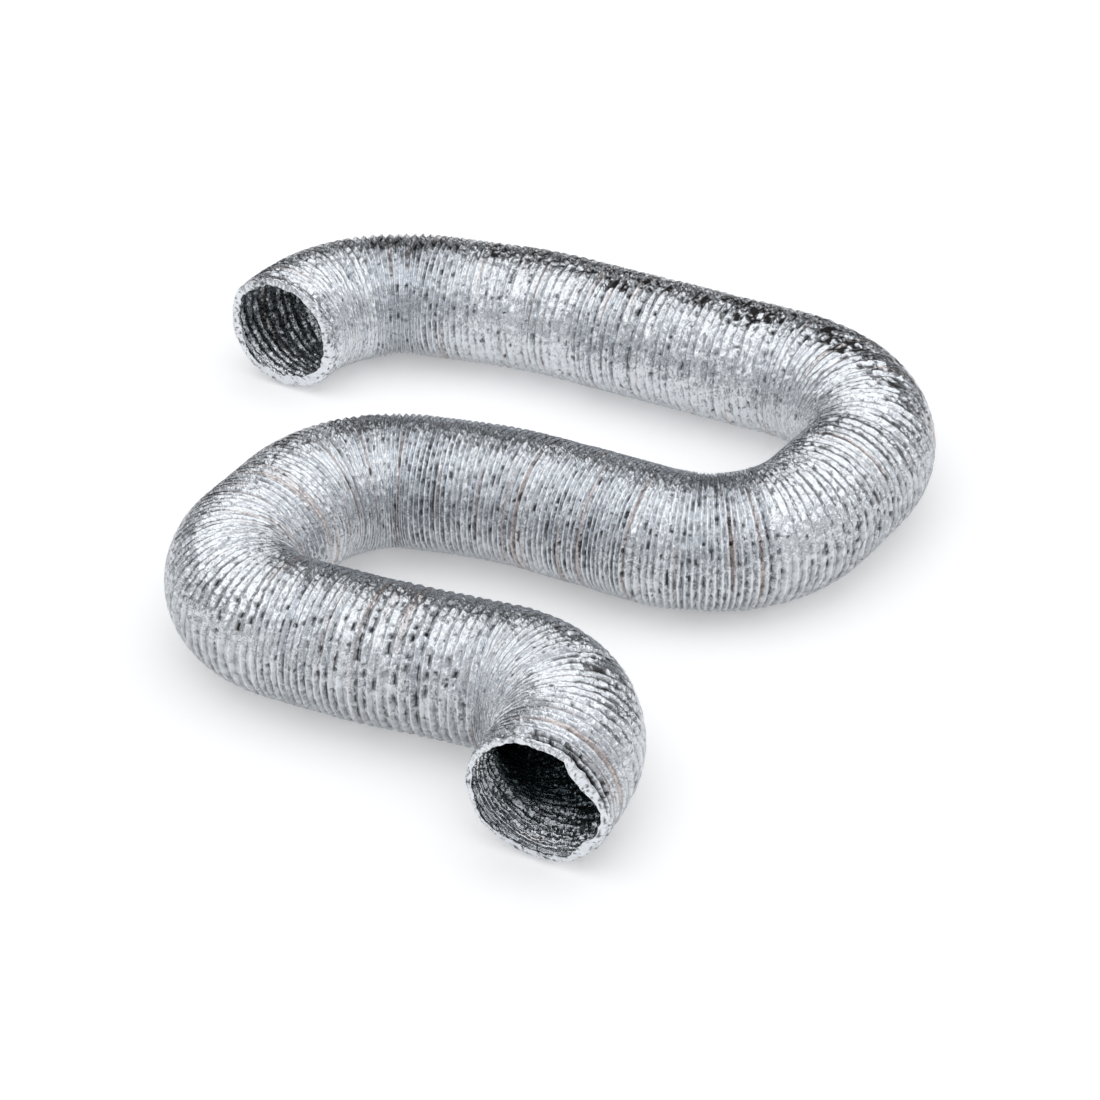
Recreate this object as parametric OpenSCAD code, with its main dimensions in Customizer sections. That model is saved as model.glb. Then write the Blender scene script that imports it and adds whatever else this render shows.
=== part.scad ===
/* [Section] */
// Inner diameter, a slip fit over a 100 mm spigot
bore_d = 102; // [90:0.5:108]
// Thickness of the foil wall between two ribs
wall = 0.8; // [0.5:0.1:1.4]
// How far a wire turn lifts the foil off the wall
rib_h = 1.2; // [0.8:0.1:1.6]
// Width of a rib
rib_w = 1.8; // [1.2:0.1:2.2]
// Distance from rib to rib along the middle of the duct
rib_pitch = 6; // [5:0.1:9]
// Plain foil past the last rib at each mouth
cuff = 11; // [6:1:14]

/* [Back mouth and back run] */
// Heading as the duct leaves the back mouth, in degrees from the line of the long runs
back_mouth_dir = 83; // [75:1:95]
// Straight length behind the back mouth
back_mouth_run = 16; // [16:1:60]
// Radius of the bend behind the back mouth
back_bend_r = 108; // [65:1:140]
// Heading of the back run's first stretch
back_dir = 7; // [2:1:15]
// Length of the back run's first stretch
back_run = 63; // [40:1:120]
// Radius of the mild bend in the back run
back_mild_r = 277; // [150:1:400]
// Heading of the back run's second stretch
back_far_dir = -5; // [-12:1:-2]
// Length of the back run's second stretch
back_far_run = 198; // [120:1:250]

/* [Right turn and middle run] */
// Radius of the bend into the right turn
right_in_r = 108; // [65:1:140]
// Heading of the straight stretch in the right turn
right_dir = -103; // [-115:1:-90]
// Length of the straight stretch in the right turn
right_run = 53; // [25:1:90]
// Radius of the bend out of the right turn
right_out_r = 100; // [65:1:140]
// Heading of the middle run's first stretch
mid_dir = -185; // [-195:1:-178]
// Length of the middle run's first stretch
mid_run = 87; // [50:1:140]
// Radius of the mild bend in the middle run
mid_mild_r = 265; // [150:1:400]
// Heading of the middle run's second stretch
mid_far_dir = -171; // [-175:1:-162]
// Length of the middle run's second stretch
mid_far_run = 38; // [20:1:90]

/* [Left turn and front run] */
// Radius of the bend into the left turn
left_in_r = 89; // [65:1:140]
// Heading of the straight stretch in the left turn
left_dir = -98; // [-108:1:-88]
// Length of the straight stretch in the left turn
left_run = 49; // [25:1:90]
// Radius of the bend out of the left turn
left_out_r = 73; // [65:1:140]
// Heading of the front run's first stretch
front_dir = -2; // [-10:1:1]
// Length of the front run's first stretch
front_run = 50; // [30:1:110]
// Radius of the mild bend in the front run
front_mild_r = 285; // [150:1:400]
// Heading of the front run's second stretch
front_far_dir = 3; // [2:1:12]
// Length of the front run's second stretch
front_far_run = 88; // [50:1:140]

/* [Front mouth] */
// Radius of the bend behind the front mouth
front_bend_r = 72; // [65:1:140]
// Heading of the duct as it comes out at the front mouth
front_mouth_dir = -93; // [-105:1:-80]
// Straight length behind the front mouth
front_mouth_run = 40; // [20:1:80]

/* [Placing] */
// Heading of the line of the long runs, in degrees from +X
lay_dir = -22; // [-35:1:-10]

/* [Hidden] */
$fn = 96;
bore_r = bore_d / 2;
wall_r = bore_r + wall;
rib_r = wall_r + rib_h;
// Two lengths of tube end this far apart inside the rib that joins them
seam = 0.2;
// The joining rib is this much wider inside than the bore, so it never narrows it
joint_gap = 0.03;
past_end = 1;
deg_per_rad = 180 / PI;

// A leg is [length, heading at its start, heading at its end]
function straight(length, dir) = [length, dir, dir];
function bend(r, from, to) = [r * abs(to - from) / deg_per_rad, from, to];
legs = [
    straight(back_mouth_run, back_mouth_dir),
    bend(back_bend_r, back_mouth_dir, back_dir),
    straight(back_run, back_dir),
    bend(back_mild_r, back_dir, back_far_dir),
    straight(back_far_run, back_far_dir),
    bend(right_in_r, back_far_dir, right_dir),
    straight(right_run, right_dir),
    bend(right_out_r, right_dir, mid_dir),
    straight(mid_run, mid_dir),
    bend(mid_mild_r, mid_dir, mid_far_dir),
    straight(mid_far_run, mid_far_dir),
    bend(left_in_r, mid_far_dir, left_dir),
    straight(left_run, left_dir),
    bend(left_out_r, left_dir, front_dir),
    straight(front_run, front_dir),
    bend(front_mild_r, front_dir, front_far_dir),
    straight(front_far_run, front_far_dir),
    bend(front_bend_r, front_far_dir, front_mouth_dir),
    straight(front_mouth_run, front_mouth_dir)
];
last = len(legs) - 1;

// Turn of a leg, left is positive, and the radius of its middle line
function turn(leg) = leg[2] - leg[1];
function radius(leg) = leg[0] * deg_per_rad / abs(turn(leg));

// Shift from the start of a leg to a place part of the way along it
function side(dir) = [sin(dir), -cos(dir)];
function shift(leg, part) =
    turn(leg) == 0
        ? part * leg[0] * [cos(leg[1]), sin(leg[1])]
        : leg[0] * deg_per_rad / turn(leg) * (side(leg[1] + part * turn(leg)) - side(leg[1]));
starts = [for (i = 0, p = [0, 0]; i <= last + 1; p = i <= last ? p + shift(legs[i], 1) : p, i = i + 1) p];

// The cuffs have no ribs, so the outer legs are ribbed over a shorter length
function plain_in(i) = i == 0 ? cuff : 0;
function plain_out(i) = i == last ? cuff : 0;
function ribbed_span(i) = legs[i][0] - plain_in(i) - plain_out(i);
function gaps_in(i) = max(1, round(ribbed_span(i) / rib_pitch));

// Distances of a leg's ribs from its start, without those that join it to its neighbours
function rib_places(i) = [
    for (n = gaps_in(i), k = [(i == 0 ? 0 : 1):(i == last ? n : n - 1)])
        plain_in(i) + k * ribbed_span(i) / n
];

// Where the tube of leg i starts and ends, short of the ribs that join it to its neighbours
function from_of(i) = i == 0 ? 0 : seam / 2;
function to_of(i) = legs[i][0] - (i == last ? 0 : seam / 2);

// The duct's reach along X or Y once it is laid, from points along its middle line
function outer_r(i, at) = at < plain_in(i) || at > legs[i][0] - plain_out(i) ? wall_r : rib_r;
line = [
    for (i = [0:last], part = [0:0.02:1]) [
        starts[i] + shift(legs[i], part),
        side(legs[i][1] + part * turn(legs[i])) * outer_r(i, part * legs[i][0])
    ]
];
function laid(p) = [p[0] * cos(lay_dir) - p[1] * sin(lay_dir), p[0] * sin(lay_dir) + p[1] * cos(lay_dir)];
function ends(axis) = [
    min([for (p = line) laid(p[0])[axis] - abs(laid(p[1])[axis])]),
    max([for (p = line) laid(p[0])[axis] + abs(laid(p[1])[axis])])
];
function middle(axis) = (ends(axis)[0] + ends(axis)[1]) / 2;

// Puts its children on leg i, which then starts at the origin and runs along +X
module on_leg(i) {
    translate([starts[i][0], starts[i][1], 0])
        rotate([0, 0, legs[i][1]])
            children();
}

// A solid arc of tube on a bent leg, from one place along it to another
module arc_part(leg, from, to, r) {
    bend_r = radius(leg);
    from_deg = from / bend_r * deg_per_rad;
    to_deg = to / bend_r * deg_per_rad;
    left = turn(leg) > 0;
    translate([0, left ? bend_r : -bend_r, 0])
        rotate_extrude(angle = to_deg - from_deg, start = left ? from_deg - 90 : 90 - to_deg)
            translate([bend_r, 0])
                circle(r);
}

// A bent leg: its tube and its ribs are solid arcs, and the bore is cut through them all
module bent_leg(i) {
    leg = legs[i];
    arcs = concat(
        [[from_of(i), to_of(i), wall_r]],
        [for (x = rib_places(i)) [x - rib_w / 2, x + rib_w / 2, rib_r]]
    );
    difference() {
        for (a = arcs)
            arc_part(leg, a[0], a[1], a[2]);
        arc_part(leg, -past_end, leg[0] + past_end, bore_r);
    }
}

// A straight leg: tube and ribs turned from one profile
module straight_leg(i) {
    steps = [for (x = rib_places(i)) each [
        [wall_r, x - rib_w / 2], [rib_r, x - rib_w / 2],
        [rib_r, x + rib_w / 2], [wall_r, x + rib_w / 2]
    ]];
    from = from_of(i);
    to = to_of(i);
    rotate([0, 90, 0])
        rotate_extrude()
            polygon(concat([[bore_r, from], [wall_r, from]], steps, [[wall_r, to], [bore_r, to]]));
}

// The rib that bridges the seam between leg i and the one before it
module joining_rib() {
    rotate([0, 90, 0])
        difference() {
            cylinder(h = rib_w, r = rib_r, center = true);
            cylinder(h = rib_w + 2 * past_end, r = bore_r + joint_gap, center = true);
        }
}

// The legs and their joining ribs make one union while the long runs lie along X
module foil_duct() {
    color([0.78, 0.8, 0.82])
        translate([-middle(0), -middle(1), rib_r])
            rotate([0, 0, lay_dir])
                for (i = [0:last], joining = i > 0 ? [false, true] : [false])
                    on_leg(i)
                        if (joining) joining_rib();
                        else if (turn(legs[i]) == 0) straight_leg(i);
                        else bent_leg(i);
}

foil_duct();
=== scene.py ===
import math
import bpy
import numpy as np
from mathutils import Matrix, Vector


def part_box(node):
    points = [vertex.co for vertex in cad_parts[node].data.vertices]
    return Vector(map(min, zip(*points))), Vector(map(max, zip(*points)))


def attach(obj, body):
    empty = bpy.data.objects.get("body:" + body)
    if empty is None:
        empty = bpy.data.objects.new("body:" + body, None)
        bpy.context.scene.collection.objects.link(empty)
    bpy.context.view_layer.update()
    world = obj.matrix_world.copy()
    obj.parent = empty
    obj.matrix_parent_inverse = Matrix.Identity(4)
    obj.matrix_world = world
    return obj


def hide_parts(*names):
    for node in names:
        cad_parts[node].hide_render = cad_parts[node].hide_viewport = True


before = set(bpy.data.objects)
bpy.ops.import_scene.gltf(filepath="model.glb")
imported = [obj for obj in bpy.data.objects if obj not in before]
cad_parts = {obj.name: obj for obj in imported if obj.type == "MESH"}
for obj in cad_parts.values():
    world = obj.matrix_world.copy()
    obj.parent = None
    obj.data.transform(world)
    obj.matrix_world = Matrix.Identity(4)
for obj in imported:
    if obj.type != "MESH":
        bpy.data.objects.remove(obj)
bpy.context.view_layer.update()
print("frame loaded")

# The route repeats the legs of part.scad, in metres and degrees
route = {
    "layDir": -22,      # heading of the line of the long runs, from +X
    "legs": [           # a straight leg's length and heading, or a bend's radius and its two headings
        ("straight", 0.016, 83),
        ("bend", 0.108, 83, 7),
        ("straight", 0.063, 7),
        ("bend", 0.277, 7, -5),
        ("straight", 0.198, -5),
        ("bend", 0.108, -5, -103),
        ("straight", 0.053, -103),
        ("bend", 0.100, -103, -185),
        ("straight", 0.087, -185),
        ("bend", 0.265, -185, -171),
        ("straight", 0.038, -171),
        ("bend", 0.089, -171, -98),
        ("straight", 0.049, -98),
        ("bend", 0.073, -98, -2),
        ("straight", 0.050, -2),
        ("bend", 0.285, -2, 3),
        ("straight", 0.088, 3),
        ("bend", 0.072, 3, -93),
        ("straight", 0.040, -93),
    ],
    "step": 0.00025,    # spacing of the points kept along the middle line
    "blur": 161,        # points over which the curvature is smoothed, an odd number
}


def walkRoute():
    # middle line as arrays: distance along it, x, y, heading and curvature
    turned = math.radians(route["layDir"])
    place, travelled = np.zeros(2), 0.0
    found = []
    for leg in route["legs"]:
        start = math.radians(leg[2]) + turned
        end = math.radians(leg[-1]) + turned
        length = leg[1] if leg[0] == "straight" else leg[1] * abs(end - start)
        bow = (end - start) / length
        d = np.linspace(0, length, max(2, int(length / route["step"])))
        heading = start + bow * d
        if leg[0] == "straight":
            x, y = d * math.cos(start), d * math.sin(start)
        else:
            x = (np.sin(heading) - math.sin(start)) / bow
            y = (math.cos(start) - np.cos(heading)) / bow
        found.append(np.stack([travelled + d, place[0] + x, place[1] + y, heading, np.full(len(d), bow)]))
        place, travelled = place + [x[-1], y[-1]], travelled + length
    return np.concatenate([part[:, :-1] for part in found] + [found[-1][:, -1:]], axis=1)


section = {
    "radius": 0.053,            # over the ribs
    "wallRadius": 0.0518,       # over the plain cuffs
    "cuff": 0.011,              # plain foil past the last rib
    "around": 208,              # columns round the tube
    "crestSide": 0.00065,       # from the top of a rib to the foot of it
    "crestShare": 0.22,         # but no more than this share of the gap
    "rungs": (0, 0.36, 0.5, 0.64),              # rows between the feet of two ribs
    "crest": (1, 0.62, 0.36, 0, 0.36, 0.62),    # how much of a rib is left in each row of a gap
    "bottomRow": 3,             # the row of a gap that lies deepest in the fold
    "cuffSteps": (0, 0.0003, 0.0007, 0.0012, 0.0018, 0.0025, 0.0032, 0.0040, 0.0053, 0.0061, 0.0069,
                  0.0078, 0.0094),
    "skin": 0.00035,            # how far the inner face lies under the outer one
    "seenDepth": 0.24,          # how far in from a mouth the inner face is ribbed
    "hiddenRadius": 0.0460,     # inner face further in, where nothing looks
    "hiddenEvery": 4,           # rows from one ring of its points to the next
    "offFloor": 0.0001,         # no point lies lower than this
}

middleLine = walkRoute()
total = middleLine[0, -1]
low, high = [np.array(corner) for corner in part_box("foil_duct")]
sideways = np.stack([np.sin(middleLine[3]), np.cos(middleLine[3])]) * section["radius"]
spanLow = (middleLine[1:3] - abs(sideways)).min(axis=1)
spanHigh = (middleLine[1:3] + abs(sideways)).max(axis=1)
middleLine[1:3] += ((low + high)[:2] / 2 - (spanLow + spanHigh) / 2)[:, None]


def onLine(d, row):
    return np.interp(d, middleLine[0], middleLine[row])


kernel = np.hanning(route["blur"])
padded = np.pad(middleLine[4], route["blur"] // 2, mode="edge")
softBow = np.convolve(padded, kernel / kernel.sum(), mode="valid")
print("route walked,", round(total, 3), "m")

# Distance from one turn of wire to the next, as the duct was pulled and pushed by hand
turns = {
    "seed": 11,
    "placeAt": (0.00, 0.10, 0.14, 0.17, 0.20, 0.24, 0.29, 0.31, 0.33, 0.36, 0.40, 0.45, 0.54, 0.59, 0.64,
                0.72, 0.77, 0.80, 0.88, 0.91, 0.95, 1.00, 1.03, 1.06, 1.12, 1.23, 1.33, 1.40, 1.43, 1.47,
                1.49, 1.51, 1.57, 1.61, 1.63, 1.639, 1.641, 1.66),
    "gapMm": (6.2, 6.2, 5.6, 4.8, 6.6, 8.6, 8.2, 5.0, 5.4, 8.0, 6.6, 8.2, 8.6, 7.0, 7.2,
              6.6, 5.4, 3.7, 3.8, 4.2, 4.7, 5.4, 3.9, 4.2, 5.1, 5.0, 5.4, 6.2, 7.6, 7.4,
              6.0, 4.8, 6.4, 6.0, 5.2, 4.8, 2.2, 2.2),
    "stray": 0.15,      # share by which a gap may differ from that
}


def placeTurns():
    rng = np.random.default_rng(turns["seed"])
    d, places = section["cuff"], []
    while d < total - section["cuff"]:
        places.append(d)
        gap = np.interp(d, turns["placeAt"], turns["gapMm"]) / 1000
        d += gap * (1 + turns["stray"] * rng.uniform(-1, 1))
    places = np.array(places)
    span = total - 2 * section["cuff"]
    return section["cuff"] + (places - places[0]) * span / (places[-1] - places[0])


turnPlaces = placeTurns()
print(len(turnPlaces), "turns of wire")

# Rows of points: the back cuff, then every gap between two turns, then the front cuff
gaps = np.diff(turnPlaces)
side = np.minimum(section["crestSide"], gaps * section["crestShare"])
between = turnPlaces[:-1, None] + side[:, None] + (gaps - 2 * side)[:, None] * np.array(section["rungs"])
ribbed = np.concatenate([turnPlaces[:-1, None], between, (turnPlaces[1:] - side)[:, None]], axis=1)
rowsInGap = ribbed.shape[1]
backCuff = np.array(section["cuffSteps"])
frontCuff = total - np.append(section["cuff"], backCuff[::-1])
rowAt = np.concatenate([backCuff, ribbed.ravel(), frontCuff])
before, after = len(backCuff), len(frontCuff)
angle = np.arange(section["around"]) / section["around"] * 2 * math.pi - math.pi  # 0 is straight up
degrees = np.degrees(angle)
rowCount, columnCount = len(rowAt), len(angle)
inCuff = ((rowAt < section["cuff"] - 1e-6) | (rowAt > total - section["cuff"] + 1e-6))[:, None]
inBackHalf = rowAt[:, None] < total / 2
fromMouth = np.minimum(rowAt, total - rowAt)[:, None]


def byRow(inGap, elsewhere):
    # one value for each row: those of a gap over and over, and another in both cuffs
    return np.concatenate([np.full(before, elsewhere), np.tile(inGap, len(gaps)), np.full(after, elsewhere)])


crest = byRow(section["crest"], 0.0)[:, None]
crest[before + ribbed.size] = 1  # the last turn
valley = 1 - crest
rowInGap = byRow(np.arange(rowsInGap), -1)[:, None]
atBottom = rowInGap == section["bottomRow"]
bottoms = np.flatnonzero(atBottom)
gapAt = np.concatenate([np.full(before, -1), np.repeat(np.arange(len(gaps)), rowsInGap), np.full(after, -2)])

foil = {
    "seed": 5,
    "length": 0.0108,       # foil from one turn to the next, of which the spare lies in the fold
    "fold": 0.31,           # depth of the fold for each metre of spare foil
    "leastDepth": 0.0012,
    "mostDepth": 0.0042,
    "slackest": 0.7,        # share of the least depth that a slack fold may have
    "moods": (0.65, 0.85, 1.0, 1.15, 2.1),      # how deep a fold is against the others
    "moodOdds": (0.2, 0.25, 0.25, 0.2, 0.1),    # and how often it comes
    "cuffGap": 0.0064,      # the gap that a cuff counts as
    "pressedFrom": 0.50,    # inside a bend the folds are pressed flat: no depth at this stretch of the foil,
    "pressedOver": 0.35,    # the whole of it over this much more
    "pressedLeast": 0.35,   # and this share of it at least
    "deepAt": (0.09, 0.11, 0.13, 0.16, 0.20, 1.01, 1.035, 1.055, 1.075, 1.60, 1.625),
    "deeperMm": (0, 1.8, 2.4, 1.2, 0, 0, 0.9, 1.4, 0, 0, 1.2),  # folds pushed in deeper by hand
    # length along the duct and width round it of the lumps in each random field
    "fields": {
        "crumple": (0.0022, 0.0052),
        "fine": (0.0012, 0.0027),
        "hole": (0.0046, 0.0105),
        "lump": (0.0036, 0.0085),
        "dent": (0.030, 0.040),
        "wobble": (0.035, 0.070),
        "patch": (0.045, 0.050),
    },
    "crumple": 0.00080,
    "crumpleSunk": 0.25,    # crumples go in more than out by this share
    "fineCrumple": 0.00060,
    "patchy": (0.8, 0.4),   # strength of the crumples, and how much it changes from patch to patch
    "crestCrumple": 0.00025,
    "dent": 0.0006,
    "pleat": 0.00080,       # pleats across a fold
    "pleatsRound": 84,
    "pleatLess": 0.4,       # share by which they are weaker at the bottom
    "nip": 0.0012,          # short deep nips in the folds
    "nipsRound": 40,
    "nipLeast": -1.2,       # nips are random numbers from this one to 1, where over 0
    "nipSidesRound": 12,    # spots where they lie on one slope or on the other
    "nipBottom": 0.8,       # share of them at the bottom
    "wobble": 0.0010,
    "wobbleFrom": 0.03,     # the turns stand straight at a mouth and wobble fully this far in
    "sway": 0.00045,        # each turn snakes a little
    "swaysRound": 30,
    "swayGap": 0.006,       # less where the turns lie closer than this
}
rng = np.random.default_rng(foil["seed"])


def crumpleField(d, cellAlong, cellAround):
    # smooth random heights from about -1 to 1, with cells of the given size and no seam round the tube
    columns = max(3, round(2 * math.pi * section["radius"] / cellAround))
    rows = int(total / cellAlong) + 3
    knots = rng.uniform(-1, 1, (rows, columns))
    across = np.arange(section["around"]) / section["around"] * columns
    left = across.astype(int)
    part = across - left
    part = part * part * (3 - 2 * part)
    wide = knots[:, left] * (1 - part) + knots[:, (left + 1) % columns] * part
    up = np.clip(d / cellAlong, 0, rows - 2)
    under = up.astype(int)
    part = (up - under)[:, None]
    part = part * part * (3 - 2 * part)
    return wide[under] * (1 - part) + wide[under + 1] * part


def spread(values, knots):
    # values at the knots of each row, read off at every column with no seam
    at = np.arange(section["around"]) / section["around"] * knots
    left = at.astype(int)
    part = at - left
    return values[:, left] * (1 - part) + values[:, (left + 1) % knots] * part


def inEachGap(knots, least=-1):
    # random values round the tube from least to 1, the same in all rows of a gap
    return spread(rng.uniform(least, 1, (len(gaps) + 2, knots)), knots)[gapAt]


def ramp(values, start, over):
    # 0 up to start, then rising to 1
    return np.clip((values - start) / over, 0, 1)


spreadOut = np.sqrt(valley)  # the crumples spread over the whole fold
bow = np.interp(rowAt, middleLine[0], softBow)[:, None]
stretch = 1 + bow * section["radius"] * np.sin(angle)[None, :]  # under 1 inside a bend, over 1 outside it
gapWidth = np.concatenate([gaps, [foil["cuffGap"], foil["cuffGap"]]])[gapAt][:, None]
gapMood = rng.choice(foil["moods"], len(gaps) + 2, p=foil["moodOdds"])[gapAt][:, None]
fields = {name: crumpleField(rowAt, *cell) for name, cell in foil["fields"].items()}
pleats = inEachGap(foil["pleatsRound"])
nips = np.clip(inEachGap(foil["nipsRound"], foil["nipLeast"]), 0, 1)
nipSide = inEachGap(foil["nipSidesRound"], 0)
onSlopes = np.where(rowInGap == section["bottomRow"] - 1, nipSide, 0)
onSlopes = onSlopes + np.where(rowInGap == section["bottomRow"] + 1, 1 - nipSide, 0)
patchy = foil["patchy"][0] + foil["patchy"][1] * fields["patch"]

depth = foil["leastDepth"] + foil["fold"] * np.clip(foil["length"] - gapWidth * stretch, 0, 1)
pressed = np.clip((stretch - foil["pressedFrom"]) / foil["pressedOver"], foil["pressedLeast"], 1)
depth = depth * pressed
deeper = np.interp(rowAt, foil["deepAt"], foil["deeperMm"])[:, None] / 1000
depth = np.clip(depth * gapMood, foil["leastDepth"] * foil["slackest"], foil["mostDepth"]) + deeper
height = section["radius"] * np.ones((rowCount, columnCount)) - valley * depth
height -= crest * foil["crestCrumple"] * (1 + fields["fine"])
height -= valley * foil["nip"] * nips * (onSlopes + foil["nipBottom"] * atBottom)
height += foil["crumple"] * (fields["crumple"] - foil["crumpleSunk"]) * spreadOut * patchy
height += foil["fineCrumple"] * fields["fine"] * spreadOut * patchy
height += foil["pleat"] * pleats * spreadOut * (1 - foil["pleatLess"] * atBottom)
height += foil["dent"] * np.minimum(fields["dent"], 0)

# Small hollows where the foil is crumpled hardest, pushed in a little and painted black as shade: holes lie
# anywhere, dashes in the folds
shadedHollows = {
    "depth": 0.0014,
    "holeMix": {"hole": 0.35, "lump": 0.55, "crumple": -0.55, "fine": 0.50},    # how much of each field
    "holeFrom": 0.78,       # a hole is where they add up to more than this
    "holeThick": 0.96,      # or less by this much in the thick of a patch
    "holeEdge": 6,          # how steep its sides are
    "holeCrest": 0.2,       # share by which it is shallower on a turn
    "holeFade": 0.25,       # power by which the holes fade out towards the edge of a patch
    "dashesRound": 88,
    "dashMix": (0.85, 0.7),     # the same for a dash, of knots round the tube and the fine crumples
    "dashFrom": 0.75,
    "dashThick": 0.75,
    "dashEdge": 3,
    "dashMost": 0.85,
    # patches of them: place along the duct, reach, degrees round it, reach, how thickly they lie
    "holes": [(0.14, 0.05, -10, 22, 0.65), (0.24, 0.06, -6, 24, 0.75), (0.34, 0.06, -4, 25, 0.80),
              (0.44, 0.06, -2, 25, 0.85), (0.53, 0.05, -6, 26, 0.80), (0.60, 0.03, -16, 22, 0.55),
              (0.715, 0.035, -84, 22, 0.45), (1.56, 0.035, -40, 30, 0.45)],
    "dashes": [(0.30, 0.22, 20, 24, 0.25), (0.715, 0.05, -78, 40, 0.70), (0.64, 0.05, -60, 24, 0.5),
               (0.86, 0.14, -78, 40, 0.5), (1.08, 0.07, 20, 34, 0.5), (1.18, 0.06, 25, 40, 0.4),
               (1.30, 0.08, 52, 32, 0.60), (1.42, 0.06, 55, 50, 0.75), (1.50, 0.05, -30, 36, 0.8),
               (1.57, 0.06, -40, 60, 0.95)],
}


def thickness(patches):
    # how thickly the hollows of some patches lie at each point
    thickest = np.zeros((rowCount, columnCount))
    for place, reach, middle, turn, strength in patches:
        away = ((rowAt[:, None] - place) / reach) ** 2 + ((degrees[None, :] - middle) / turn) ** 2
        thickest = np.maximum(thickest, strength * np.exp(-away ** 2))
    return thickest


holesThick = thickness(shadedHollows["holes"])
holesAndShade = sum(share * fields[name] for name, share in shadedHollows["holeMix"].items())
holesAndShade = holesAndShade - shadedHollows["holeFrom"] + shadedHollows["holeThick"] * holesThick
holesAndShade = np.clip(holesAndShade * shadedHollows["holeEdge"], 0, 1) * (1 - shadedHollows["holeCrest"] * crest)
dashesAndShade = shadedHollows["dashMix"][0] * inEachGap(shadedHollows["dashesRound"])
dashesAndShade = dashesAndShade + shadedHollows["dashMix"][1] * fields["fine"]
dashesAndShade = dashesAndShade - shadedHollows["dashFrom"] + shadedHollows["dashThick"] * thickness(shadedHollows["dashes"])
dashesAndShade = np.clip(dashesAndShade * shadedHollows["dashEdge"], 0, shadedHollows["dashMost"])
dashesAndShade = dashesAndShade * np.clip(atBottom + onSlopes, 0, 1)
# the hollows dent the foil, and the same mask is painted black as shade further down
hollowAndPaintedShade = np.maximum(holesAndShade * holesThick ** shadedHollows["holeFade"], dashesAndShade) * ~inCuff
height -= shadedHollows["depth"] * hollowAndPaintedShade
height = np.clip(height, section["hiddenRadius"] + section["skin"], section["radius"])

# The foil past the last turn curls in towards the axis, and more where it has been crushed
lips = {
    "sunk": 0.0004,         # how far a cuff lies under the wall
    "curl": 0.0018,         # length of the cuff that curls
    "curlPower": 1.7,
    "crushedShare": 0.9,    # share of the cuff that the crushed places reach over
    "crushedPower": 3,
    "ragged": 0.0009,
    "raggedRound": 34,
    "ridgesLeast": 0.2,     # share of the ridges that is left where they aren't bunched up
    # each mouth has ridges by distance from its edge, and crushed places: angle, spread and depth
    "back": {
        "seed": 3,
        "lean": 0.0056,
        "ridgesAt": (0, 0.008, 0.0094),
        "ridges": (0.0010, 0.0004, -0.0006),
        "ridgesRound": (0, 400),
        "crushed": [(175, 60, 0.0080), (-92, 34, 0.0056), (90, 30, 0.0015), (-40, 14, 0.0010)],
    },
    "front": {
        "seed": 4,
        "lean": 0.0036,
        "ridgesAt": (0, 0.0025, 0.0032, 0.0040, 0.0053, 0.0061, 0.0069, 0.0078, 0.0094),
        "ridges": (0.0014, 0.0012, 0.0002, -0.0034, -0.0034, 0.0011, 0.0009, -0.0036, -0.0036),
        "ridgesRound": (-46, 58),   # bunched up from this angle as far round as this both ways
        "crushed": [(-55, 13, 0.0080), (-38, 7, 0.0040), (-10, 30, 0.0016), (-128, 24, 0.0050),
                    (170, 34, 0.0050), (92, 40, 0.0022)],
    },
}


def lipHeight(lip, fromEdge):
    # radius of a cuff from its edge inwards, curled in and crushed
    lean = np.full(columnCount, lip["lean"])
    for at, reach, deep in lip["crushed"]:
        away = (degrees - at + 180) % 360 - 180
        lean += deep * np.exp(-(away / reach) ** 2)
    ragged = np.random.default_rng(lip["seed"]).uniform(-1, 1, (1, lips["raggedRound"]))
    lean += lips["ragged"] * spread(ragged, lips["raggedRound"])[0] * (1 + lean / lip["lean"]) / 2
    curled = np.clip(1 - fromEdge / lips["curl"], 0, 1)
    crushed = np.clip(1 - fromEdge / (section["cuff"] * lips["crushedShare"]), 0, 1)
    extra = np.maximum(lean - lip["lean"], 0) * crushed ** lips["crushedPower"]
    middle, reach = lip["ridgesRound"]
    ridged = np.interp(fromEdge, lip["ridgesAt"], lip["ridges"])
    ridged = ridged * np.clip(np.exp(-((degrees - middle) / reach) ** 4), lips["ridgesLeast"], 1)
    curl = np.minimum(lean, lip["lean"]) * curled ** lips["curlPower"]
    return section["wallRadius"] + ridged - curl - extra


backLip = lipHeight(lips["back"], rowAt[:, None])
frontLip = lipHeight(lips["front"], total - rowAt[:, None])
cuffHeight = np.where(inBackHalf, backLip, frontLip) - lips["sunk"]
cuffHeight = cuffHeight + foil["crumple"] * fields["crumple"] + foil["fineCrumple"] * fields["fine"]
height = np.where(inCuff, np.minimum(cuffHeight, section["radius"]), height)
shiftAlong = foil["wobble"] * fields["wobble"] * ~inCuff * np.minimum(1, fromMouth / foil["wobbleFrom"])
sway = foil["sway"] * inEachGap(foil["swaysRound"]) * crest
shiftAlong += sway * np.minimum(1, gapWidth * stretch / foil["swayGap"]) * ~inCuff
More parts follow.
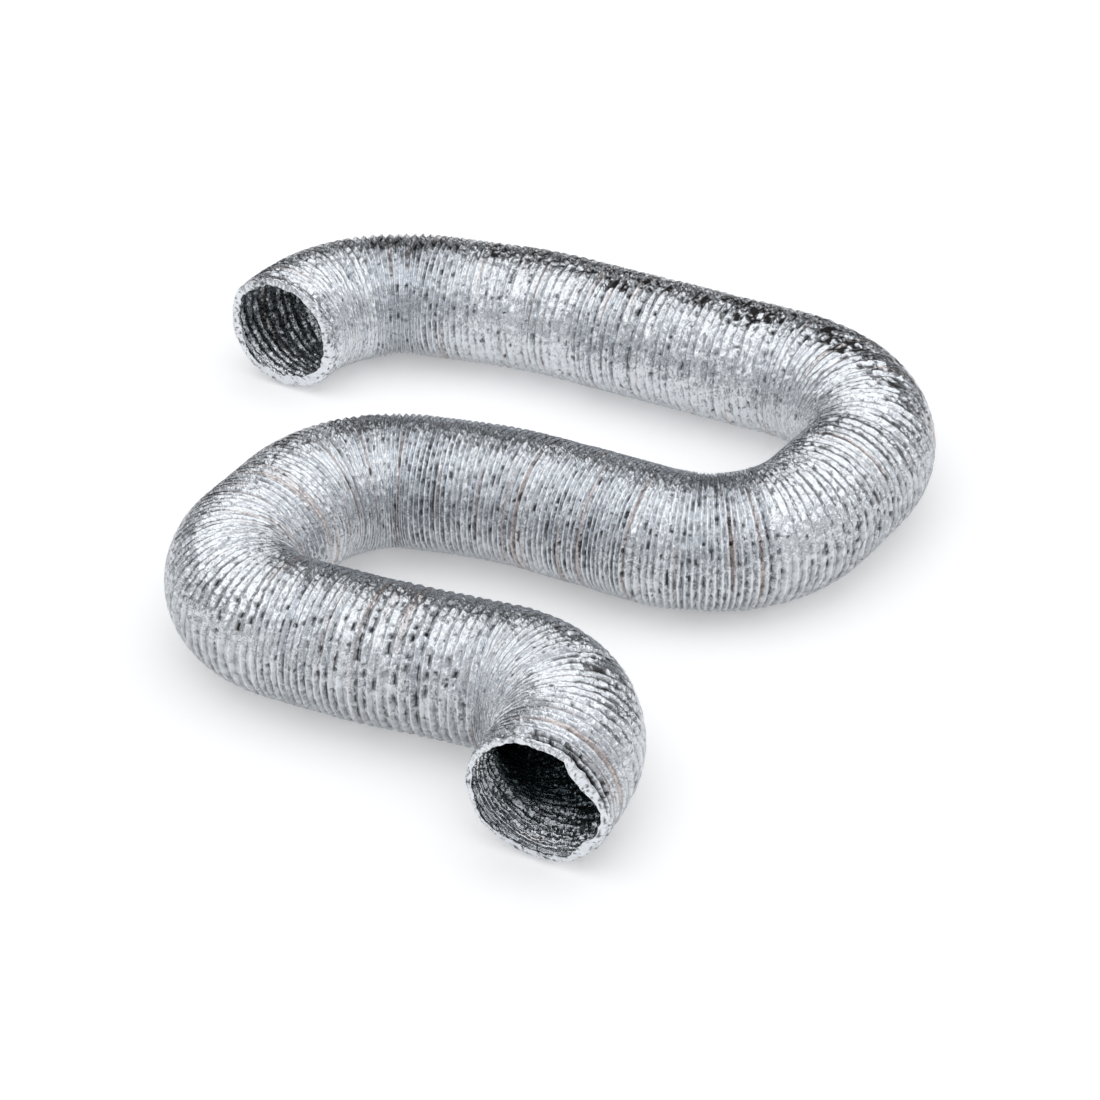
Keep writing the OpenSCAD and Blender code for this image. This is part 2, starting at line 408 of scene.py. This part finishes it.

# How dark each point is: painted shade where light dies in the folds, in the grooves behind a mouth's edge,
# in the hollows, on the lower side and deep inside
shading = {
    "from": 0.0021,         # folds turn dark from this depth
    "to": 0.0042,           # and are darkest at this one
    "deeperLess": 0.6,      # share of what hands pushed in that doesn't count
    "bottom": 0.92,         # share of the dark at the bottom of a fold
    "slopes": 0.36,         # and on its slopes
    "breaksRound": 90,
    "breaks": (0.62, 0.95, 0.5),    # the dark is broken up: its middle, and by the knots and the crumples
    "edge": 0.0038,         # the edge of a mouth stays bright as far as this
    "bunchedFrom": 0.0022,  # the grooves behind it turn dark from this depth
    "bunchedOver": 0.0010,
    "bunched": (0.55, 0.45),    # how dark they are, and by how much more where the dark isn't broken up
    "lowFrom": 55,          # degrees from the top where painted shade darkens the foil towards the floor
    "lowOver": 40,
    "low": (0.05, 0.58),    # least darkness down there, on the turns and in the folds between them
    "lowBroken": (0.5, 0.5),    # the same for the folds down there
    "lowAt": (0.00, 0.55, 0.64, 0.74, 0.84, 1.20, 1.28, 1.66),
    "lowShare": (0.15, 0.2, 0.9, 1.0, 0.6, 0.3, 1.0, 0.8),      # how much of it there is by place
    "lipMarksRound": 104,
    "lipCreaseShade": (2.2, -1.1),    # factor and shift that leave a few dark marks of painted crease shade on the cuffs
    "lipMarksMost": 0.7,
    "lipMarksTo": 0.0115,
    "insideBack": (0.030, 0.150),   # painted shade: the inside turns dark from here, over this length
    "insideFront": (0.016, 0.052),
}
broken = shading["breaks"][0] + shading["breaks"][1] * inEachGap(shading["breaksRound"])
broken = np.clip(broken + shading["breaks"][2] * fields["crumple"], 0, 1)
sunk = section["radius"] - height - shading["deeperLess"] * deeper * valley
# painted shade in the folds, by how deep they sink
shade = ramp(sunk, shading["from"], shading["to"] - shading["from"])
shade = shade * broken * pressed ** 2 * np.where(inCuff & (fromMouth < shading["edge"]), 0, 1)
shade = shade * np.where(atBottom, shading["bottom"], shading["slopes"])
# painted shade in the grooves behind the edge of a mouth
bunched = ramp(section["wallRadius"] - height, shading["bunchedFrom"], shading["bunchedOver"])
bunched = bunched * (fromMouth > shading["edge"]) * inCuff
shade = np.maximum(shade, bunched * (shading["bunched"][0] + shading["bunched"][1] * broken))
# painted shade on the lower side, towards the floor
lowShade = ramp(abs(degrees)[None, :], shading["lowFrom"], shading["lowOver"])
lowShade = lowShade * np.interp(rowAt, shading["lowAt"], shading["lowShare"])[:, None] * ~inCuff
lowBroken = shading["lowBroken"][0] + shading["lowBroken"][1] * broken
shade = np.maximum(shade, lowShade * (shading["low"][0] + shading["low"][1] * valley * lowBroken))
# painted shade: the hollows are painted black
shade = np.maximum(shade, hollowAndPaintedShade)
# painted shade in a few creases on the cuffs
lipCreaseShade = spread(rng.uniform(-1, 1, (rowCount, shading["lipMarksRound"])), shading["lipMarksRound"])
lipCreaseShade = np.clip(lipCreaseShade * shading["lipCreaseShade"][0] + shading["lipCreaseShade"][1], 0, shading["lipMarksMost"])
shade = np.maximum(shade, lipCreaseShade * (fromMouth < shading["lipMarksTo"]))
# painted shade deeper inside the tube, away from each mouth
darkBack = ramp(fromMouth, *shading["insideBack"])
darkFront = ramp(fromMouth, *shading["insideFront"])
innerShade = np.where(inBackHalf, darkBack, darkFront) * np.ones(columnCount)
print("foil crumpled,", rowCount, "rows by", columnCount)


def skinPoints(radius, along):
    heading = onLine(rowAt, 3)[:, None]
    centre = np.stack([onLine(rowAt, 1), onLine(rowAt, 2)])[:, :, None]
    right = radius * np.sin(angle)[None, :]
    x = centre[0] + right * np.sin(heading) + along * np.cos(heading)
    y = centre[1] - right * np.cos(heading) + along * np.sin(heading)
    z = section["radius"] + radius * np.cos(angle)[None, :]
    return np.stack([x, y, np.maximum(z, section["offFloor"])], axis=-1)


def skinNormals(points):
    alongTube = np.gradient(points, axis=0)
    roundTube = np.roll(points, -1, axis=1) - np.roll(points, 1, axis=1)
    normal = np.cross(roundTube, alongTube)
    return normal / np.maximum(np.linalg.norm(normal, axis=2, keepdims=True), 1e-12)


outerPoints = skinPoints(height, shiftAlong)
outerNormals = skinNormals(outerPoints)
seenInside = (rowAt < section["seenDepth"]) | (rowAt > total - section["seenDepth"])
innerHeight = np.where(seenInside[:, None], height - section["skin"], section["hiddenRadius"])
innerPoints = skinPoints(innerHeight, shiftAlong * seenInside[:, None])
innerNormals = -skinNormals(innerPoints)

# What both foils share, with sizes as features to the metre
foilGrain = {
    "stretch": (1.0, 0.7, 1.0),             # facets and grain are longer round the tube
    "facets": ((720, 1.0), (300, 0.5)),     # how fine the facets are, and how far they lean
    "shineTo": 0.06,                        # foil darker than this loses its shine
    "tiltFull": 0.35,                       # facets lean fully from this darkness
    "tiltLeast": 0.6,                       # and by this share on bright foil
    "grain": 1100,
    "grainDetail": 2,
    "bump": 0.8,
    "bumpDepth": 0.0005,
    "grainSpan": (0.3, 0.7),                # grain that the roughness goes by
    "tone": 160,
    "toneDetail": 4,
    "rings": (230, 4, 1),                   # a few turns where the wire shows brown through the foil
    "ringSpan": (0.63, 0.70),
    "ringMost": 0.6,
    "ringColour": (0.52, 0.40, 0.35, 1),
}
brightLook = {
    "colour": (0.81, 0.835, 0.868, 1),
    "dark": (0.66, 0.683, 0.715, 1),
    # painted shade: the colour and shine of the darkest folds
    "shadeColour": (0.030, 0.028, 0.028, 1),
    "shadeShine": 0.1,               # how metallic the darkest folds are
    "shadeFull": 0.75,               # painted shade from which a fold has the full shade colour
    "roughness": (0.12, 0.28),
    "tilt": 0.62,                   # how far the facets lean
}
innerLook = {
    "colour": (0.84, 0.86, 0.88, 1),
    "dark": (0.64, 0.66, 0.68, 1),
    # painted shade inside the tube and in its folds
    "shadeColour": (0.13, 0.165, 0.18, 1),
    "shadeShine": 0.9,
    "shadeFull": 1.0,
    "roughness": (0.14, 0.32),
    "tilt": 0.8,
}


def addNode(tree, kind, values, feeds, operation=None):
    # a node with the values of its sockets, and the outputs that feed the others
    made = tree.nodes.new("ShaderNode" + kind)
    if kind == "Mix":
        made.data_type = "RGBA"
    if operation:
        made.operation = operation
    for socket, value in values.items():
        made.inputs[socket].default_value = value
    for socket, output in feeds.items():
        tree.links.new(output, made.inputs[socket])
    return made


def makeFoilMaterial(name, look):
    # bright foil, crumpled into small facets that each lean their own way
    made = bpy.data.materials.new(name)
    made.use_nodes = True
    tree = made.node_tree
    shader = tree.nodes["Principled BSDF"]
    shader.inputs["Specular IOR Level"].default_value = 0.0
    uvMap = addNode(tree, "UVMap", {}, {})
    uvMap.uv_map = "duct"
    place = uvMap.outputs["UV"]
    stretched = addNode(tree, "Mapping", {"Scale": foilGrain["stretch"]}, {"Vector": place}).outputs["Vector"]

    facetLeans = []
    for cells, share in foilGrain["facets"]:
        facets = addNode(tree, "TexVoronoi", {"Scale": cells}, {"Vector": stretched})
        centring = {1: (share, share, share), 2: (-share / 2, -share / 2, -share / 2)}
        centred = addNode(tree, "VectorMath", centring, {0: facets.outputs["Color"]}, "MULTIPLY_ADD")
        facetLeans.append(centred.outputs["Vector"])
    together = addNode(tree, "VectorMath", {}, {0: facetLeans[0], 1: facetLeans[1]}, "ADD")
    # the 'fold' attribute is the painted shade of each point: it darkens the colour, takes away the shine and
    # tilts the facets
    attribute = addNode(tree, "Attribute", {}, {})
    attribute.attribute_name = "fold"
    paintedShade = attribute.outputs["Fac"]
    shine = {"From Min": foilGrain["shineTo"], "To Min": 1.0, "To Max": look["shadeShine"]}
    metal = addNode(tree, "MapRange", shine, {"Value": paintedShade})
    tree.links.new(metal.outputs["Result"], shader.inputs["Metallic"])
    tilt = {
        "From Max": foilGrain["tiltFull"],
        "To Min": look["tilt"] * foilGrain["tiltLeast"],
        "To Max": look["tilt"],
    }
    howFar = addNode(tree, "MapRange", tilt, {"Value": paintedShade})
    lean = {"Vector": together.outputs["Vector"], "Scale": howFar.outputs["Result"]}
    leaning = addNode(tree, "VectorMath", {}, lean, "SCALE")
    geometry = addNode(tree, "NewGeometry", {}, {})
    both = {0: geometry.outputs["Normal"], 1: leaning.outputs["Vector"]}
    leaned = addNode(tree, "VectorMath", {}, both, "ADD")
    facing = addNode(tree, "VectorMath", {}, {0: leaned.outputs["Vector"]}, "NORMALIZE")

    fine = {"Scale": foilGrain["grain"], "Detail": foilGrain["grainDetail"]}
    grain = addNode(tree, "TexNoise", fine, {"Vector": stretched}).outputs["Fac"]
    relief = {"Strength": foilGrain["bump"], "Distance": foilGrain["bumpDepth"]}
    bump = addNode(tree, "Bump", relief, {"Height": grain, "Normal": facing.outputs["Vector"]})
    tree.links.new(bump.outputs["Normal"], shader.inputs["Normal"])

    cloudy = {"Scale": foilGrain["tone"], "Detail": foilGrain["toneDetail"]}
    tone = addNode(tree, "TexNoise", cloudy, {"Vector": place})
    blend = addNode(tree, "Mix", {"A": look["dark"], "B": look["colour"]}, {"Factor": tone.outputs["Fac"]})
    ringPlace = addNode(tree, "Mapping", {"Scale": foilGrain["rings"]}, {"Vector": place})
    rings = addNode(tree, "TexNoise", {"Scale": 1.0, "Detail": 1}, {"Vector": ringPlace.outputs["Vector"]})
    browned = {
        "From Min": foilGrain["ringSpan"][0],
        "From Max": foilGrain["ringSpan"][1],
        "To Max": foilGrain["ringMost"],
    }
    few = addNode(tree, "MapRange", browned, {"Value": rings.outputs["Fac"]})
    streaks = {"Factor": few.outputs["Result"], "A": blend.outputs["Result"]}
    streaked = addNode(tree, "Mix", {"B": foilGrain["ringColour"]}, streaks)
    # painted shade: the colour goes to the shade colour as the fold attribute rises
    howShaded = addNode(tree, "MapRange", {"From Max": look["shadeFull"]}, {"Value": paintedShade})
    shadeInputs = {"Factor": howShaded.outputs["Result"], "A": streaked.outputs["Result"]}
    shadeMixed = addNode(tree, "Mix", {"B": look["shadeColour"]}, shadeInputs)
    tree.links.new(shadeMixed.outputs["Result"], shader.inputs["Base Color"])

    dullness = {
        "From Min": foilGrain["grainSpan"][0],
        "From Max": foilGrain["grainSpan"][1],
        "To Min": look["roughness"][0],
        "To Max": look["roughness"][1],
    }
    dull = addNode(tree, "MapRange", dullness, {"Value": grain})
    tree.links.new(dull.outputs["Result"], shader.inputs["Roughness"])
    return made


brightFoil = makeFoilMaterial("brightFoil", brightLook)
innerFoil = makeFoilMaterial("innerFoil", innerLook)
print("foil materials made")


def gridFaces(rows, columns, flip):
    # quads of a closed band of rows, numbered from 0
    row, column = np.meshgrid(np.arange(rows - 1), np.arange(columns), indexing="ij")
    a = row * columns + column
    b = row * columns + (column + 1) % columns
    quads = np.stack([a, a + columns, b + columns, b], axis=-1).reshape(-1, 4)
    return quads[:, ::-1] if flip else quads


def endFaces(outerStart, innerStart, columns, flip):
    # ring of faces between an outer row and an inner row with half as many points
    c = np.arange(0, columns, 2)
    outer0, outer1, outer2 = outerStart + c, outerStart + c + 1, outerStart + (c + 2) % columns
    inner0, inner1 = innerStart + c // 2, innerStart + ((c // 2) + 1) % (columns // 2)
    tris = np.concatenate([
        np.stack([outer0, outer1, inner0], axis=-1),
        np.stack([outer1, outer2, inner1], axis=-1),
        np.stack([outer1, inner1, inner0], axis=-1),
    ])
    return tris[:, ::-1] if flip else tris


def skinMesh(name, rows, innerRows):
    # both faces of one length of duct, closed at its two ends
    half = columnCount // 2
    outer = outerPoints[rows].reshape(-1, 3)
    inner = innerPoints[innerRows][:, ::2].reshape(-1, 3)
    outerQuads = gridFaces(len(rows), columnCount, True)
    innerQuads = gridFaces(len(innerRows), half, False) + len(outer)
    lastOuter = (len(rows) - 1) * columnCount
    lastInner = len(outer) + (len(innerRows) - 1) * half
    ends = np.concatenate([
        endFaces(0, len(outer), columnCount, True),
        endFaces(lastOuter, lastInner, columnCount, False),
    ])
    faces = [tuple(quad) for quad in np.concatenate([outerQuads, innerQuads]).tolist()]
    faces += [tuple(triangle) for triangle in ends.tolist()]
    mesh = bpy.data.meshes.new(name)
    mesh.from_pydata(np.concatenate([outer, inner]).tolist(), [], faces)
    mesh.materials.append(brightFoil)
    mesh.materials.append(innerFoil)
    which = np.zeros(len(faces), dtype=np.int32)
    which[len(outerQuads):len(outerQuads) + len(innerQuads)] = 1
    mesh.polygons.foreach_set("material_index", which)
    mesh.polygons.foreach_set("use_smooth", np.ones(len(faces), dtype=bool))
    return mesh


def unrollSkin(mesh, rows, innerRows):
    # lay the foil flat: distance along the duct by distance round it, in metres
    around = (angle + math.pi) * section["radius"]
    outerPlace = np.stack(np.broadcast_arrays(rowAt[rows][:, None], around[None, :]), axis=-1)
    innerPlace = np.stack(np.broadcast_arrays(rowAt[innerRows][:, None], around[None, ::2]), axis=-1)
    place = np.concatenate([outerPlace.reshape(-1, 2), innerPlace.reshape(-1, 2)])
    corner = np.zeros(len(mesh.loops), dtype=np.int32)
    mesh.loops.foreach_get("vertex_index", corner)
    layer = mesh.uv_layers.new(name="duct")
    values = place[corner]
    # the quads that close the ring count on past the last column
    size = np.zeros(len(mesh.polygons), dtype=np.int32)
    mesh.polygons.foreach_get("loop_total", size)
    owner = np.repeat(np.arange(len(size)), size)
    widest = np.zeros(len(size))
    np.maximum.at(widest, owner, values[:, 1])
    girth = 2 * math.pi * section["radius"]
    values[:, 1] += girth * (widest[owner] - values[:, 1] > girth / 2)
    layer.data.foreach_set("uv", values.astype(np.float32).ravel())


def makeLength(name, first, last):
    # one length of duct from row first to row last
    rows = np.arange(first, last + 1)
    innerRows = rows
    if not seenInside[rows].any():
        innerRows = rows[np.unique(np.append(np.arange(0, len(rows), section["hiddenEvery"]), len(rows) - 1))]
    mesh = skinMesh(name, rows, innerRows)
    unrollSkin(mesh, rows, innerRows)
    # the 'fold' attribute carries the painted shade of each point
    fold = mesh.attributes.new("fold", "FLOAT", "POINT")
    shades = np.concatenate([shade[rows].ravel(), innerShade[innerRows][:, ::2].ravel()])
    fold.data.foreach_set("value", shades.astype(np.float32))
    innerPart = innerNormals[innerRows][:, ::2].reshape(-1, 3)
    normals = np.concatenate([outerNormals[rows].reshape(-1, 3), innerPart])
    mesh.normals_split_custom_set_from_vertices(normals.tolist())
    mesh.update()
    made = bpy.data.objects.new(name, mesh)
    bpy.context.collection.objects.link(made)
    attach(made, "root")
    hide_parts("foil_duct")
    return made


# Where each length of duct starts, moved to the nearest fold
cuts = {
    "duct_back_mouth": 0.0,
    "duct_back_run": 0.24,
    "duct_right_turn": 0.50,
    "duct_middle_run": 0.80,
    "duct_left_turn": 1.00,
    "duct_front_run": 1.20,
    "duct_front_mouth": total - 0.24,
}
nearest = [int(bottoms[np.argmin(abs(rowAt[bottoms] - start))]) for start in list(cuts.values())[1:]]
for name, first, last in zip(cuts, [0] + nearest, nearest + [rowCount - 1]):
    made = makeLength(name, first, last)
    print(name, "made,", len(made.data.loops) - 2 * len(made.data.polygons), "triangles")

studio = {
    "floorSize": 12.0,
    "floorColour": (0.90, 0.90, 0.90, 1),
    "floorGlow": 0.27,              # the table is lit from below
    "floorRoughness": 0.9,
    "lowWall": (0.33, 0.335, 0.345, 1),
    "wall": (0.54, 0.55, 0.565, 1),
    "wallSpan": (0.22, 0.40),       # heights between which the wall has its own colour
    "ceiling": (0.88, 0.90, 0.93, 1),
    "backWall": 0.06,               # strength of the light from the back
    "backSpan": (-0.3, 0.9),        # where it falls off from 1 to that
    "lights": [                     # name, place, aim, size and power in watts
        ("overhead", (-0.2, 0.35, 2.0), (0, 0, 0), (3.6, 3.2), 27),
        ("front", (-0.9, -1.9, 1.4), (0, 0, 0.05), (1.6, 1.2), 4),
        ("right", (1.9, -0.3, 1.2), (0, 0, 0.05), (1.0, 0.8), 4),
    ],
    "elevation": 35.07,             # of the camera, in degrees
    "distance": 2.0993,
    "lookAt": (-0.0108, 0.0126, 0.0),
    "sensor": 36,
    "focalPixels": 2686.5,
    "imageSide": 1100,
}


def makeFloor():
    half = studio["floorSize"] / 2
    corners = [(-half, -half, 0), (half, -half, 0), (half, half, 0), (-half, half, 0)]
    mesh = bpy.data.meshes.new("floor")
    mesh.from_pydata(corners, [], [(0, 1, 2, 3)])
    made = bpy.data.objects.new("floor", mesh)
    bpy.context.collection.objects.link(made)
    surface = bpy.data.materials.new("paleFloor")
    surface.use_nodes = True
    shader = surface.node_tree.nodes["Principled BSDF"]
    shader.inputs["Base Color"].default_value = studio["floorColour"]
    shader.inputs["Emission Color"].default_value = (1, 1, 1, 1)
    shader.inputs["Emission Strength"].default_value = studio["floorGlow"]
    shader.inputs["Roughness"].default_value = studio["floorRoughness"]
    mesh.materials.append(surface)


def makeLight(name, place, aim, size, power):
    data = bpy.data.lights.new(name, "AREA")
    data.shape = "RECTANGLE"
    data.size, data.size_y = size
    data.energy = power
    made = bpy.data.objects.new(name, data)
    made.location = place
    made.rotation_euler = (Vector(aim) - Vector(place)).to_track_quat("-Z", "Y").to_euler()
    bpy.context.collection.objects.link(made)


def makeWorld():
    # a bright ceiling, dimmer walls, and the darkest wall at the back
    world = bpy.data.worlds.new("studio")
    bpy.context.scene.world = world
    world.use_nodes = True
    tree = world.node_tree
    lit = tree.nodes["Background"]
    coords = addNode(tree, "TexCoord", {}, {})
    split = addNode(tree, "SeparateXYZ", {}, {"Vector": coords.outputs["Generated"]})
    heights = addNode(tree, "ValToRGB", {}, {"Fac": split.outputs["Z"]})
    stops = heights.color_ramp.elements
    stops[0].color = studio["lowWall"]
    stops[1].color = studio["ceiling"]
    for place in studio["wallSpan"]:
        stops.new(place).color = studio["wall"]
    fallOff = {
        "From Min": studio["backSpan"][0],
        "From Max": studio["backSpan"][1],
        "To Min": 1.0,
        "To Max": studio["backWall"],
    }
    toBack = addNode(tree, "MapRange", fallOff, {"Value": split.outputs["Y"]})
    tree.links.new(heights.outputs["Color"], lit.inputs["Color"])
    tree.links.new(toBack.outputs["Result"], lit.inputs["Strength"])


def makeCamera():
    data = bpy.data.cameras.new("camera")
    data.sensor_fit = "HORIZONTAL"
    data.sensor_width = studio["sensor"]
    data.lens = studio["focalPixels"] * data.sensor_width / studio["imageSide"]
    made = bpy.data.objects.new("camera", data)
    up = math.radians(studio["elevation"])
    target = Vector(studio["lookAt"])
    made.location = target + studio["distance"] * Vector((0, -math.cos(up), math.sin(up)))
    made.rotation_euler = (target - made.location).to_track_quat("-Z", "Y").to_euler()
    bpy.context.collection.objects.link(made)
    bpy.context.scene.camera = made


makeFloor()
makeWorld()
for light in studio["lights"]:
    makeLight(*light)
makeCamera()
bpy.context.scene.view_settings.view_transform = "Standard"
print("studio lit")
